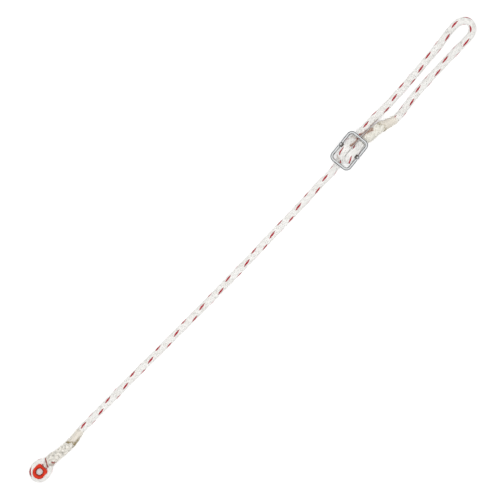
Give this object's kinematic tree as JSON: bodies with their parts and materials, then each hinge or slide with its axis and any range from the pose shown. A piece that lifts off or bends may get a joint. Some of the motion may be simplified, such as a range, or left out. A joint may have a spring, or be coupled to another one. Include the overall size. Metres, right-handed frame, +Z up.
{
  "type": "adjustable rope lanyard",
  "caption": "Braided safety rope lanyard with a spliced thimble eye at one end and, at the other, a long loop whose length a two-window metal adjuster sets",
  "frame": {"origin": "on the surface that the lanyard lies on, under the middle of its bounding box", "axes": "+X runs along the lanyard from the thimble to the loop's bend, +Y is across it towards the running leg's side, +Z is up from the surface"},
  "size_m": [0.9999, 0.0482, 0.0308],
  "materials": {
    "white_rope": "white braided polyamide with two red tracer strands",
    "red_plastic": "smooth injection-moulded plastic, orange-red",
    "polished_steel": "polished steel",
    "shrink_sleeve": "clear heat-shrink film over the rope, slightly yellowed"
  },
  "bodies": {
    "standing_part": {"thimble": "red_plastic", "thimble_eye_rope": "white_rope", "thimble_splice": "white_rope", "thimble_splice_sleeve": "shrink_sleeve", "main_rope": "white_rope"},
    "adjuster": {"adjuster_frame": "polished_steel", "adjuster_middle_bar": "polished_steel", "rope_over_middle_bar": "white_rope", "adjuster_eye_rope": "white_rope", "adjuster_splice": "white_rope", "adjuster_splice_sleeve": "shrink_sleeve", "loop_running_leg": "white_rope", "loop_spliced_leg": "white_rope"},
    "loop_end": {"loop_bend": "white_rope"}
  },
  "joints": [
    {"name": "adjuster_slide", "type": "slide", "parent": "standing_part", "child": "adjuster", "axis": [1, 0, 0], "range_m": [-0.16, 0.1], "deforming": ["main_rope"]},
    {"name": "loop_take_up", "type": "slide", "parent": "adjuster", "child": "loop_end", "axis": [1, 0, 0], "range_m": [-0.05, 0.08], "deforming": ["loop_running_leg", "loop_spliced_leg"]}
  ],
  "couplings": [
    {"joint": "loop_take_up", "follows": "adjuster_slide", "ratio": -0.5}
  ]
}
